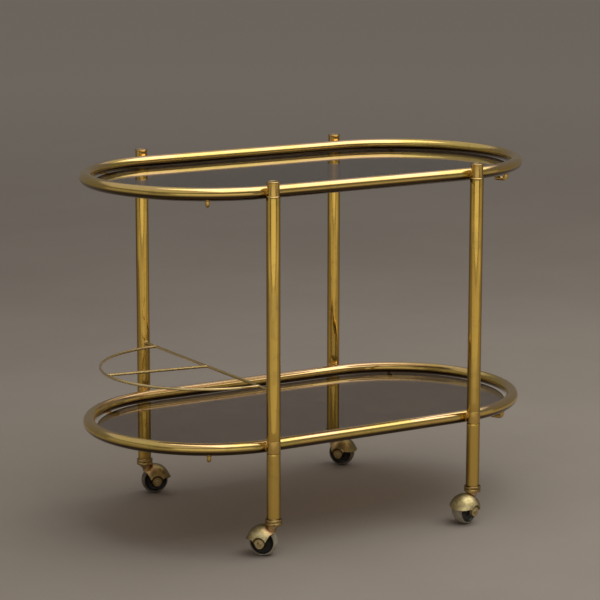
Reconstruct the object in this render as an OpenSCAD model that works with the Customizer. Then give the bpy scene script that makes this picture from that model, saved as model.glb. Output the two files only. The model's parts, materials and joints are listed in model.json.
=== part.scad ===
// Oval two-tier serving trolley: brass tube rails, smoked glass shelves,
// four tube posts, a rod bottle holder and four one-sided ball casters.
// Millimetres, +Z up, +X along the trolley. The origin is on the floor, at the
// centre between the four posts. "f" is the -Y side, "b" +Y, "l" -X and "r" +X.

/* [Rails] */
// Outside diameter of the rail tubes
rail_d = 20; // [16:0.5:24]
// Wall of the rail tubes
rail_wall = 1.2; // [1:0.1:2]
// Radius of the round ends, to the tube's centre line
bend_r = 196.5; // [180:0.5:220]
// Distance from the middle of the trolley to the start of each round end
straight_half = 181; // [150:1:220]
// Height of the top rail's centre line above the floor
top_rail_z = 573.5; // [560:0.5:650]
// Height of the bottom rail's centre line above the floor
bottom_rail_z = 174; // [170:0.5:190]

/* [Glass] */
// Thickness of each shelf
glass_t = 6; // [5:0.5:7]
// Drop of the glass surface below the rail's centre line
glass_drop = 7; // [5:0.5:8]
// Gap between the glass edge and the rail
glass_gap = 2.5; // [1.5:0.5:4]

/* [Posts] */
// Outside diameter of the post and leg tubes
post_d = 22; // [20:0.5:26]
// Wall of the post and leg tubes
post_wall = 1.2; // [1:0.1:2]
// Distance of each post from the middle, along the trolley
post_x = 189.5; // [182:0.5:195]
// Distance of each post from the middle, across the trolley
post_y = 215; // [214:0.5:216]
// Height of the bottom end of the leg tubes
leg_foot_z = 62; // [62:1:66]
// Distance of the cap's lower seam below the top rail's centre line
cap_seam_drop = 5.5; // [4:0.5:7]
// Height of the cap's top face above its lower seam
cap_h = 24; // [22:0.5:28]
// Length of the coupling at the bottom rail
knuckle_h = 20; // [18:0.5:24]
// Distance of the coupling's lower seam below the bottom rail's centre line
knuckle_seam_drop = 8; // [7:0.5:10]
// Length of each spigot inside a tube
spigot_l = 14; // [10:1:18]

/* [Glass supports] */
// Diameter of the support pegs
peg_d = 7; // [6:0.5:8]
// Angle of each peg from the trolley's long axis, seen from the end's centre
peg_angle = 60; // [50:1:65]
// Distance of a peg's inner tip inside the rail's centre line
peg_reach = 20.5; // [18:0.5:24]
// Diameter of the clear bumper on each peg
pad_d = 8; // [7:0.5:9]
// Thickness of the bumper between peg and glass
pad_t = 1.5; // [1:0.25:2]

/* [Bottle holder] */
// Diameter of the holder's rods
rod_d = 4.5; // [4:0.5:6]
// Height of the holder above the floor
holder_z = 264; // [240:1:320]
// Radius of the hoop, to the rod's centre line
hoop_r = 170; // [150:1:175]
// Place of the divider on the straight rod
divider_y = -6; // [-20:1:20]
// Angle of the divider from the trolley's long axis
divider_angle = 8.5; // [-10:0.5:10]

/* [Casters] */
// Radius of the ball wheel
tyre_r = 22.5; // [21:0.5:22.5]
// Distance of the wheel's centre behind the swivel axis
trail = 17; // [15:0.5:18]
// Distance of the wheel's centre from the swivel axis, along the axle
side_step = 1; // [0:0.5:2]
// Radius of the hood
hood_r = 25; // [24.8:0.1:25.4]
// Thickness of the hood
hood_wall = 1.8; // [1.5:0.1:1.8]
// Tilt of the hood's rim, up towards the stem
rim_pitch = 15; // [12:1:18]
// Tilt of the hood's rim, up towards the dish side
rim_tilt = 5; // [2:1:8]
// Radius of the collar below each leg
collar_r = 13.6; // [12:0.1:15]
// Diameter of the swivel stem
stem_d = 8; // [7:0.5:9]
// Diameter of the wheel axle
axle_d = 6; // [5:0.5:6]
// Direction each caster trails in, in degrees from +X, for fl, fr, bl and br
trail_dir = [130, 196, 345, 307];

/* [Hidden] */
$fn = 96;
CORNERS = ["fl", "fr", "bl", "br"];
FRAME_PARTS = ["top_rail", "bottom_rail", "top_glass", "bottom_glass", "top_pegs", "bottom_pegs",
               "top_pads", "bottom_pads", "holder_rod", "holder_hoop", "holder_divider"];
CORNER_PARTS = ["post", "cap", "knuckle", "leg", "collar", "stem", "hood", "axle", "hub", "dish", "tyre"];

brass = "#c9a24f";
aged_brass = "#a08a5a";
smoked = "#5a4f45";
clear_plastic = "#d8d8d0";
steel = "#a8a8a4";
black_plastic = "#1c1a19";
cover_grey = "#8f8878";
grey_rubber = "#857c6c";

// heights that follow from the rails
cap_z = top_rail_z - cap_seam_drop;
knuckle_z = bottom_rail_z - knuckle_seam_drop;
knuckle_top_z = knuckle_z + knuckle_h;

// spigots slide into the tubes with a hair of play
play = 0.05;
spigot_r = post_d / 2 - post_wall - play;
eps = 0.01;

// rods of one size that meet leave this much room in their saddles
saddle_gap = 0.1;

// casters: the hood's sphere sits a little above the wheel's
hood_lift = 2.5;
hood_inner_r = hood_r - hood_wall;
rim_rise = 9;
lip_flare = 2.5;
lip_h = 3.2;
collar_h = 12;
collar_z = leg_foot_z - collar_h;
neck_top_z = collar_z - 0.4;
neck_r = 9.2;
neck_foot_r = 5.3;
neck_foot_z = 39;
stem_foot_z = 42;
ferrule_l = 31;
stem_head_gap = 0.6;
stem_head_h = 1.6;

// lobe that carries the axle, with a round flat cut into it and a boss inside
boss_r = 8;
boss_face = 21.3;
lobe_rise = 15;
lobe_half_w = 16;
lobe_wall = 1.6;
inner_boss_r = 7;
inner_boss_start = 14.4;

// wheel, measured along the axle: positive is towards the lobe
tyre_from = -6;
tyre_to = 9;
drum_r = 19;
hub_r = 6;
hub_from = -11;
hub_to = 13.9;
dish_r = tyre_r - 0.6;
dish_wall = 1.6;
web_r = 18.4;
web_t = 2;
axle_head_r = 4.6;
axle_head_t = 2;

function side_x(i) = i % 2 == 0 ? -1 : 1;
function side_y(i) = i < 2 ? -1 : 1;
// the front pair carries its lobes on the left of the trail, the back pair on the right
function hand(i) = i < 2 ? 1 : -1;

module at_corner(i) {
    translate([side_x(i) * post_x, side_y(i) * post_y, 0]) children();
}

// the caster's own frame: origin on the floor under the swivel axis, +X along the
// trail and +Y towards the lobe
module at_caster(i) {
    at_corner(i)
        rotate([0, 0, trail_dir[i]])
            mirror([0, hand(i) > 0 ? 0 : 1, 0])
                children();
}

module at_wheel() {
    translate([trail, -side_step, tyre_r]) children();
}

// turns a profile's +Z to the caster's +Y, so along the axle towards the lobe
module along_axle() {
    at_wheel() rotate([-90, 0, 0]) children();
}

// closed oval bar of round section: two straights and two half rings
module oval_bar(r, z) {
    for (s = [-1, 1])
        translate([-straight_half, s * bend_r, z])
            rotate([0, 90, 0])
                cylinder(r = r, h = 2 * straight_half);
    for (a = [0, 180])
        rotate([0, 0, a])
            translate([straight_half, 0, z])
                rotate([0, 0, -90])
                    rotate_extrude(angle = 180)
                        translate([bend_r, 0])
                            circle(r = r);
}

module oval_plate(r, z, t) {
    translate([0, 0, z]) linear_extrude(t) {
        square([2 * straight_half, 2 * r], center = true);
        for (s = [-1, 1])
            translate([s * straight_half, 0])
                circle(r = r);
    }
}

// ---- rails and shelves ----

module rail(z) {
    r = rail_d / 2;
    color(brass) union() {
        for (s = [-1, 1])
            translate([-straight_half, s * bend_r, z])
                rotate([0, 90, 0])
                    difference() {
                        cylinder(r = r, h = 2 * straight_half);
                        translate([0, 0, -eps]) cylinder(r = r - rail_wall, h = 2 * (straight_half + eps));
                    }
        for (a = [0, 180])
            rotate([0, 0, a])
                translate([straight_half, 0, z])
                    rotate([0, 0, -90])
                        rotate_extrude(angle = 180)
                            translate([bend_r, 0])
                                difference() {
                                    circle(r = r);
                                    circle(r = r - rail_wall);
                                }
    }
}

module shelf(rail_z) {
    color(smoked)
        oval_plate(bend_r - rail_d / 2 - glass_gap, rail_z - glass_drop - glass_t, glass_t);
}

// puts its children over each support peg, with +X outwards from the bend's centre
module at_pegs() {
    for (end = [0, 180])
        rotate([0, 0, end])
            translate([straight_half, 0, 0])
                for (side = [-1, 1])
                    rotate([0, 0, side * peg_angle])
                        children();
}

function peg_z(rail_z) = rail_z - glass_drop - glass_t - pad_t - peg_d / 2;

module peg_body(z, rail_z) {
    tip = bend_r - peg_reach + peg_d / 2;
    translate([tip, 0, z]) {
        sphere(d = peg_d);
        rotate([0, 90, 0]) cylinder(d = peg_d, h = bend_r - tip);
    }
    translate([bend_r, 0, z]) {
        sphere(d = peg_d);
        cylinder(d = peg_d, h = rail_z - z);
    }
}

module pegs(rail_z) {
    color(brass) difference() {
        at_pegs() peg_body(peg_z(rail_z), rail_z);
        oval_bar(rail_d / 2, rail_z);
    }
}

module pads(rail_z) {
    z = peg_z(rail_z);
    seat = peg_d / 2 - 1.2;
    color(clear_plastic) at_pegs() difference() {
        translate([bend_r - peg_reach + pad_d / 2, 0, z + seat])
            cylinder(d = pad_d, h = peg_d / 2 + pad_t - seat);
        peg_body(z, rail_z);
    }
}

// ---- posts ----

module tube(z0, z1) {
    difference() {
        translate([0, 0, z0]) cylinder(d = post_d, h = z1 - z0);
        translate([0, 0, z0 - eps]) cylinder(d = post_d - 2 * post_wall, h = z1 - z0 + 2 * eps);
    }
}

module post(i) {
    color(brass) difference() {
        at_corner(i) tube(knuckle_top_z, cap_z);
        oval_bar(rail_d / 2, top_rail_z);
    }
}

module leg(i) {
    color(brass) difference() {
        at_corner(i) tube(leg_foot_z, knuckle_z);
        oval_bar(rail_d / 2, bottom_rail_z);
    }
}

// turned cap: spigot, seam collar, slimmer body, flared rim and a shallow dished top
module cap(i) {
    body_r = post_d / 2 - 1.1;
    rim_r = body_r + 0.5;
    color(brass) difference() {
        at_corner(i) translate([0, 0, cap_z]) rotate_extrude() polygon([
            [0, -spigot_l], [spigot_r - 0.7, -spigot_l], [spigot_r, 0.7 - spigot_l], [spigot_r, 0],
            [post_d / 2 - 0.1, 0], [post_d / 2 - 0.1, 1], [body_r, 2.2],
            [body_r, cap_h - 2.2], [rim_r, cap_h - 1.5], [rim_r, cap_h - 0.7], [rim_r - 0.7, cap_h],
            [rim_r - 2, cap_h], [rim_r - 2.8, cap_h - 0.6], [0, cap_h - 0.6]
        ]);
        oval_bar(rail_d / 2, top_rail_z);
    }
}

// turned coupling between leg and post, with a spigot each way
module knuckle(i) {
    color(brass) difference() {
        at_corner(i) translate([0, 0, knuckle_z]) rotate_extrude() polygon([
            [0, -spigot_l], [spigot_r - 0.7, -spigot_l], [spigot_r, 0.7 - spigot_l], [spigot_r, 0],
            [post_d / 2 - 0.5, 0], [post_d / 2, 0.6], [post_d / 2, knuckle_h - 0.6],
            [post_d / 2 - 0.5, knuckle_h], [spigot_r, knuckle_h],
            [spigot_r, knuckle_h + spigot_l - 0.7], [spigot_r - 0.7, knuckle_h + spigot_l],
            [0, knuckle_h + spigot_l]
        ]);
        oval_bar(rail_d / 2, bottom_rail_z);
    }
}

// ---- bottle holder ----

module straight_rod(r) {
    translate([-post_x, -post_y, holder_z])
        rotate([-90, 0, 0])
            cylinder(r = r, h = 2 * post_y);
}

module hoop_bar(r) {
    translate([-post_x, 0, holder_z])
        rotate([0, 0, 90])
            rotate_extrude(angle = 180)
                translate([hoop_r, 0])
                    circle(r = r);
}

module holder_rod() {
    color(brass) difference() {
        straight_rod(rod_d / 2);
        for (i = [0, 2])
            at_corner(i) translate([0, 0, holder_z - post_d]) cylinder(d = post_d, h = 2 * post_d);
    }
}

module holder_hoop() {
    color(brass) difference() {
        hoop_bar(rod_d / 2);
        straight_rod(rod_d / 2 + saddle_gap);
    }
}

module holder_divider() {
    color(brass) difference() {
        translate([-post_x, divider_y, holder_z])
            rotate([0, -90, -divider_angle])
                cylinder(d = rod_d, h = hoop_r * cos(divider_angle));
        straight_rod(rod_d / 2 + saddle_gap);
        hoop_bar(rod_d / 2 + saddle_gap);
    }
}

// ---- casters ----

// two rings with a groove, and the ferrule that the stem turns in, inside the leg
module collar(i) {
    bore_r = stem_d / 2 + play;
    color(aged_brass) at_corner(i) translate([0, 0, collar_z]) rotate_extrude() polygon([
        [bore_r, 0], [collar_r - 1.8, 0], [collar_r - 0.4, 1], [collar_r, 2.2], [collar_r, 4.4],
        [collar_r - 0.6, 5.3], [collar_r - 1.2, 5.8], [collar_r - 0.6, 6.3], [collar_r, 7.2],
        [collar_r, 9.6], [collar_r - 0.8, 10.8], [collar_r - 2.4, 11.5], [spigot_r, 11.5],
        [spigot_r, collar_h + ferrule_l - 1], [spigot_r - 1, collar_h + ferrule_l],
        [bore_r, collar_h + ferrule_l]
    ]);
}

// swivel stem, with the head that keeps it in the ferrule
module stem(i) {
    head_z = leg_foot_z + ferrule_l + stem_head_gap;
    color(steel) at_corner(i) {
        translate([0, 0, stem_foot_z]) cylinder(d = stem_d, h = head_z + stem_head_h - stem_foot_z);
        translate([0, 0, head_z]) cylinder(d = stem_d + 4, h = stem_head_h);
    }
}

// a boss round the axle, and a wedge that widens from it up to the hood's rim
module lobe_bar() {
    lobe_from = 6;
    foot_w = 0.925 * boss_r;
    foot_drop = 0.3 * boss_r;
    rotate([-90, 0, 0])
        translate([0, 0, lobe_from])
            cylinder(r = boss_r, h = hood_r - lobe_from + 1);
    translate([0, hood_r + 1, 0])
        rotate([90, 0, 0])
            linear_extrude(hood_r - lobe_from + 1)
                polygon([
                    [-lobe_half_w, lobe_rise], [-foot_w, -foot_drop],
                    [foot_w, -foot_drop], [lobe_half_w, lobe_rise]
                ]);
}

// puts its children on the hood's rim, with +Z along the dome's axis
module at_rim() {
    translate([0, 0, hood_lift])
        rotate([-rim_tilt, rim_pitch, 0])
            translate([0, 0, rim_rise])
                children();
}

module above_rim() {
    box = 2 * hood_r + 4;
    at_rim() translate([-box / 2, -box / 2, 0]) cube([box, box, box]);
}

// the dome's ball, with its poles along the axle and its seam at the bottom
module hood_ball(ball_r) {
    translate([0, 0, hood_lift])
        rotate([90, 0, 0])
            rotate([0, 0, -90])
                sphere(r = ball_r);
}

// the hollow round the wheel stops flat behind the lobe's cut
module hood_hollow() {
    depth = boss_face - lobe_wall;
    intersection() {
        hood_ball(hood_inner_r);
        translate([-2 * hood_r, -3 * hood_r, -2 * hood_r]) cube([4 * hood_r, 3 * hood_r + depth, 4 * hood_r]);
    }
}

// flared lip round the rim
module hood_lip() {
    rim_r = sqrt(pow(hood_r, 2) - pow(rim_rise, 2));
    root_r = sqrt(pow(hood_r, 2) - pow(rim_rise + lip_h, 2)) - 0.3;
    inside_r = rim_r - 2 * hood_wall + 0.3;
    at_rim() rotate_extrude() polygon([
        [inside_r, 0], [rim_r + lip_flare - 0.6, -0.9], [rim_r + lip_flare, -0.2],
        [rim_r + 0.8, 0.8], [root_r, lip_h], [inside_r, lip_h]
    ]);
}

module hood_shell() {
    intersection() {
        difference() {
            hood_ball(hood_r);
            hood_hollow();
        }
        union() {
            above_rim();
            lobe_bar();
        }
    }
}

// tapered neck under the collar, down to the dome
module hood_neck() {
    difference() {
        translate([0, 0, neck_foot_z])
            cylinder(r1 = neck_foot_r, r2 = neck_r, h = neck_top_z - neck_foot_z);
        at_wheel() hood_hollow();
    }
}

module hood(i) {
    color(aged_brass) at_caster(i) difference() {
        union() {
            at_wheel() hood_shell();
            at_wheel() difference() {
                hood_lip();
                hood_hollow();
            }
            hood_neck();
            along_axle() translate([0, 0, inner_boss_start])
                cylinder(r = inner_boss_r, h = boss_face - 0.3 - inner_boss_start);
        }
        along_axle() translate([0, 0, boss_face]) cylinder(r = boss_r + 0.4, h = hood_r);
        along_axle() cylinder(d = axle_d, h = 2 * hood_r);
        translate([0, 0, stem_foot_z]) cylinder(d = stem_d, h = collar_z - stem_foot_z);
    }
}

// axle: riveted over at the lobe, with a head inside the dish
module axle(i) {
    head_z = hub_from - 0.2;
    rivet_r = axle_d / 2 + 1;
    color(steel) at_caster(i) along_axle() rotate_extrude() polygon([
        [0, head_z - axle_head_t], [axle_head_r, head_z - axle_head_t], [axle_head_r, head_z],
        [axle_d / 2, head_z], [axle_d / 2, boss_face], [rivet_r, boss_face], [rivet_r, boss_face + 0.5],
        [rivet_r - 0.8, boss_face + 1.1], [0, boss_face + 1.3]
    ]);
}

// wheel core: the hub turns on the axle and the drum carries the tyre
module hub(i) {
    bore_r = axle_d / 2 + play;
    color(black_plastic) at_caster(i) along_axle() rotate_extrude() polygon([
        [bore_r, hub_from], [hub_r, hub_from], [hub_r, tyre_from - web_t], [web_r, tyre_from - web_t],
        [web_r, tyre_from], [drum_r, tyre_from], [drum_r, tyre_to - 0.6], [drum_r - 1.5, tyre_to - 0.6],
        [drum_r - 3, tyre_to - 2.4], [hub_r + 2.5, tyre_to - 2.4], [hub_r, tyre_to + 1],
        [hub_r, hub_to], [bore_r, hub_to]
    ]);
}

// domed cover on the wheel's open side
module dish(i) {
    color(cover_grey) at_caster(i) along_axle() difference() {
        intersection() {
            sphere(r = dish_r);
            translate([0, 0, -dish_r]) cylinder(r = dish_r + 1, h = dish_r + tyre_from);
        }
        sphere(r = dish_r - dish_wall);
    }
}

module tyre(i) {
    color(grey_rubber) at_caster(i) along_axle() difference() {
        intersection() {
            sphere(r = tyre_r);
            translate([0, 0, tyre_from]) cylinder(r = tyre_r + 1, h = tyre_to - tyre_from);
        }
        translate([0, 0, tyre_from - eps]) cylinder(r = drum_r, h = tyre_to - tyre_from + 2 * eps);
    }
}

// ---- the trolley ----

rail(top_rail_z);  // top_rail
rail(bottom_rail_z);  // bottom_rail
shelf(top_rail_z);  // top_glass
shelf(bottom_rail_z);  // bottom_glass
pegs(top_rail_z);  // top_pegs
pegs(bottom_rail_z);  // bottom_pegs
pads(top_rail_z);  // top_pads
pads(bottom_rail_z);  // bottom_pads
holder_rod();
holder_hoop();
holder_divider();
for (i = [0:3]) {
    post(i);
    cap(i);
    knuckle(i);
    leg(i);
    collar(i);
    stem(i);
    hood(i);
    axle(i);
    hub(i);
    dish(i);
    tyre(i);
}
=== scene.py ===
"""Oval two-tier serving trolley: brass tube rails and posts, smoked glass shelves,
a rod bottle holder and four one-sided ball casters. Shapes are in millimetres
here and are scaled to metres as each mesh is made. Lights, floor and camera are in
metres."""

import json
import math

import bmesh
import bpy
from mathutils import Matrix, Vector, noise


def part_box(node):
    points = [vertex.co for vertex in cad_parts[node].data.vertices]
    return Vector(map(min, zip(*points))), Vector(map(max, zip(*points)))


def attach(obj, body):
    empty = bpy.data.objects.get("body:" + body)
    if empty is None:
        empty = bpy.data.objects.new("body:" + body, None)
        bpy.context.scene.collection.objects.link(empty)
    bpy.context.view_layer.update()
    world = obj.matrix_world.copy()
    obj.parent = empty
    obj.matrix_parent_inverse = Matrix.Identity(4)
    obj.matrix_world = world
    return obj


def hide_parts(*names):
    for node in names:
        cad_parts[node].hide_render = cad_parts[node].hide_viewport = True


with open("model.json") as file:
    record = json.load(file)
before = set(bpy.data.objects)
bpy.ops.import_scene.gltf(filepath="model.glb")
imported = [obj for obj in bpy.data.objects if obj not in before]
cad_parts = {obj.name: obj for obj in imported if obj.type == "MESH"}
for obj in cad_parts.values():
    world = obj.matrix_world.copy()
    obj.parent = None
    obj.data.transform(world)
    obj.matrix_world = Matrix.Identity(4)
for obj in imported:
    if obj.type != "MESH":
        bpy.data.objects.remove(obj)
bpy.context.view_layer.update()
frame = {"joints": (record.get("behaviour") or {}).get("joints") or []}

MM = 0.001
CORNERS = ("fl", "fr", "bl", "br")
ENDS = (1, -1)


def box_mm(node):
    """A CAD node's box, in mm."""
    low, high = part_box(node)
    return low / MM, high / MM


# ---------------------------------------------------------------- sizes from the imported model

low, high = box_mm("top_rail")
RAIL_R = (high.z - low.z) / 2
TOP_Z = (high.z + low.z) / 2
BEND_R = high.y - RAIL_R
STRAIGHT = high.x - RAIL_R - BEND_R
low, high = box_mm("bottom_rail")
BOTTOM_Z = (high.z + low.z) / 2
low, high = box_mm("holder_hoop")
ROD_R = (high.z - low.z) / 2
HOLDER_Z = (high.z + low.z) / 2
HOOP_R = (high.y - low.y) / 2 - ROD_R
low, high = box_mm("leg_fl")
POST_R = (high.x - low.x) / 2

# how far caps and knuckles go into the posts, and the wall of a post
SPIGOT = 14
POST_WALL = 1.2


# ---------------------------------------------------------------- shapes: (vertices, faces) in mm

def rounded(points, radius, loop=False, steps=3):
    """The outline with each corner turned into a small curve."""
    out, count = [], len(points)
    for i, point in enumerate(points):
        if not loop and i in (0, count - 1):
            out.append(tuple(point))
            continue
        here = Vector(point)
        back = Vector(points[i - 1]) - here
        ahead = Vector(points[(i + 1) % count]) - here
        reach = min(radius, 0.45 * back.length, 0.45 * ahead.length)
        start, end = here + back.normalized() * reach, here + ahead.normalized() * reach
        for k in range(steps + 1):
            t = k / steps
            out.append(tuple(start * (1 - t) ** 2 + here * (2 * t * (1 - t)) + end * t ** 2))
    return out


def bands(rings, loop):
    """Faces between rings of vertex numbers; a ring of one number is a pole."""
    faces = []
    pairs = list(zip(rings, rings[1:]))
    if loop:
        pairs.append((rings[-1], rings[0]))
    for a, b in pairs:
        count = max(len(a), len(b))
        if count == 1:
            continue
        for i in range(count):
            j = (i + 1) % count
            if len(a) == 1:
                faces.append((a[0], b[j], b[i]))
            elif len(b) == 1:
                faces.append((a[i], a[j], b[0]))
            else:
                faces.append((a[i], a[j], b[j], b[i]))
    return faces


def lathe(profile, count=72, loop=False):
    """Turns (radius, height) points round +Z."""
    vertices, rings = [], []
    for radius, height in profile:
        start = len(vertices)
        if radius < 1e-6:
            vertices.append(Vector((0, 0, height)))
            rings.append([start])
            continue
        for k in range(count):
            turn = 2 * math.pi * k / count
            vertices.append(Vector((radius * math.cos(turn), radius * math.sin(turn), height)))
        rings.append(list(range(start, start + count)))
    return vertices, bands(rings, loop)


def sweep(path, radius, sides=32, loop=False, tip=None, tip_steps=4):
    """A round bar along a path. Open ends are rounded over by tip, or fully round."""
    count = len(path)
    tip = radius if tip is None else tip
    stations = []
    for i, point in enumerate(path):
        after = path[(i + 1) % count] if loop or i < count - 1 else point
        before = path[i - 1] if loop or i else point
        stations.append((point, radius, (after - before).normalized()))
    if not loop:
        for point, _, along, sign in ((*stations[0], -1), (*stations[-1], 1)):
            extra = []
            for k in range(1, tip_steps + 1):
                turn = math.pi / 2 * k / tip_steps
                size = radius - tip * (1 - math.cos(turn))
                extra.append((point + along * sign * tip * math.sin(turn), max(size, 0), along))
            if tip < radius:
                extra.append((extra[-1][0], 0, along))
            stations = stations + extra if sign > 0 else extra[::-1] + stations
    vertices, rings = [], []
    side = stations[0][2].orthogonal().normalized()
    if abs(stations[0][2].z) < 0.9:
        side = Vector((0, 0, 1))
    for point, size, along in stations:
        start = len(vertices)
        if size < 1e-6:
            vertices.append(point.copy())
            rings.append([start])
            continue
        side = (side - along * side.dot(along)).normalized()
        other = along.cross(side)
        for k in range(sides):
            turn = 2 * math.pi * k / sides
            vertices.append(point + (side * math.cos(turn) + other * math.sin(turn)) * size)
        rings.append(list(range(start, start + sides)))
    return vertices, bands(rings, loop)


def moved(shape, matrix):
    """The shape placed by a matrix in mm."""
    return [matrix @ v for v in shape[0]], shape[1]


def oval(half, radius, z, arc=84, run=14):
    """A closed path: two half circles joined by straights."""
    path = []
    for end in ENDS:
        for k in range(arc):
            turn = math.pi * (k / arc - 0.5)
            x = half + radius * math.cos(turn)
            path.append(Vector((end * x, end * radius * math.sin(turn), z)))
        for k in range(run):
            path.append(Vector((end * half * (1 - 2 * k / run), end * radius, z)))
    return path


def build(name, shapes, sharp=38):
    """One mesh object, in metres, from shapes in mm."""
    mesh_maker = bmesh.new()
    for vertices, faces in shapes:
        made = [mesh_maker.verts.new(Vector(v) * MM) for v in vertices]
        for face in faces:
            mesh_maker.faces.new([made[i] for i in face])
    bmesh.ops.recalc_face_normals(mesh_maker, faces=mesh_maker.faces[:])
    mesh = bpy.data.meshes.new(name)
    mesh_maker.to_mesh(mesh)
    mesh_maker.free()
    mesh.polygons.foreach_set("use_smooth", [True] * len(mesh.polygons))
    mesh.set_sharp_from_angle(angle=math.radians(sharp))
    made = bpy.data.objects.new(name, mesh)
    bpy.context.scene.collection.objects.link(made)
    return made


def fit(piece, look, body, slot, *nodes):
    """Gives a finished mesh its material and its body, and hides the CAD nodes it stands for."""
    piece.data.materials.clear()
    piece.data.materials.append(look)
    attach(piece, body)
    if nodes:
        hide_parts(*nodes)
    return piece


# ---------------------------------------------------------------- materials

class Look:
    """A material being made. Most methods add nodes and return an output socket."""

    def __init__(self, name):
        self.material = bpy.data.materials.new(name)
        self.material.use_nodes = True
        self.tree = self.material.node_tree
        self.tree.nodes.clear()
        self.place = self.node("ShaderNodeTexCoord").outputs["Object"]

    def node(self, kind, **settings):
        made = self.tree.nodes.new(kind)
        for key, value in settings.items():
            setattr(made, key, value)
        return made

    def feed(self, socket, value):
        if isinstance(value, bpy.types.NodeSocket):
            self.tree.links.new(value, socket)
        else:
            socket.default_value = value

    def noise(self, scale, detail=3.0, rough=0.55, stretch=(1, 1, 1), distortion=0.0):
        mapping = self.node("ShaderNodeMapping")
        self.feed(mapping.inputs["Vector"], self.place)
        mapping.inputs["Scale"].default_value = stretch
        made = self.node("ShaderNodeTexNoise")
        self.feed(made.inputs["Vector"], mapping.outputs["Vector"])
        made.inputs["Scale"].default_value = scale
        made.inputs["Detail"].default_value = detail
        made.inputs["Roughness"].default_value = rough
        made.inputs["Distortion"].default_value = distortion
        return made.outputs["Fac"]

    def span(self, value, low, high, to_low=0.0, to_high=1.0):
        made = self.node("ShaderNodeMapRange", interpolation_type="SMOOTHSTEP")
        self.feed(made.inputs["Value"], value)
        made.inputs["From Min"].default_value = low
        made.inputs["From Max"].default_value = high
        made.inputs["To Min"].default_value = to_low
        made.inputs["To Max"].default_value = to_high
        return made.outputs["Result"]

    def math(self, operation, a, b=0.0):
        made = self.node("ShaderNodeMath", operation=operation)
        self.feed(made.inputs[0], a)
        self.feed(made.inputs[1], b)
        return made.outputs[0]

    def mix(self, factor, a, b):
        made = self.node("ShaderNodeMix", data_type="RGBA")
        self.feed(made.inputs[0], factor)
        self.feed(made.inputs[6], (*a, 1) if isinstance(a, tuple) else a)
        self.feed(made.inputs[7], (*b, 1) if isinstance(b, tuple) else b)
        return made.outputs[2]

    def axis(self, name):
        made = self.node("ShaderNodeSeparateXYZ")
        self.feed(made.inputs[0], self.place)
        return made.outputs[name]

    def bump(self, height, distance, normal=None):
        made = self.node("ShaderNodeBump")
        made.inputs["Distance"].default_value = distance
        self.feed(made.inputs["Height"], height)
        if normal is not None:
            self.feed(made.inputs["Normal"], normal)
        return made.outputs["Normal"]

    def surface(self, **values):
        made = self.node("ShaderNodeBsdfPrincipled")
        for key, value in values.items():
            value = (*value, 1) if isinstance(value, tuple) and len(value) == 3 else value
            self.feed(made.inputs[key.replace("_", " ")], value)
        return made.outputs["BSDF"]

    def finish(self, shader):
        self.feed(self.node("ShaderNodeOutputMaterial").inputs["Surface"], shader)
        return self.material


# what age and use add to the brass and to the castings, and the colours of painted light: a painted
# highlight on upper faces, painted shade on undersides, on the castings' step and at a slant
TOP_HIGHLIGHT_COLOUR = (0.86, 0.61, 0.40)
UNDERSIDE_SHADE_COLOUR = (0.035, 0.018, 0.008)
CASTING_WARM = (0.86, 0.50, 0.24)
CASTING_STAIN = (0.26, 0.17, 0.08)
CASTING_SPECK = (0.10, 0.07, 0.04)
CASTING_STEP_SHADE = (0.14, 0.085, 0.035)
CASTING_SLANT_SHADE = (0.17, 0.13, 0.055)


def slant(look):
    """How far the surface turns away from whoever looks at it, from 0 to 1."""
    edge = look.node("ShaderNodeLayerWeight")
    edge.inputs["Blend"].default_value = 0.5
    return edge.outputs["Facing"]


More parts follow.
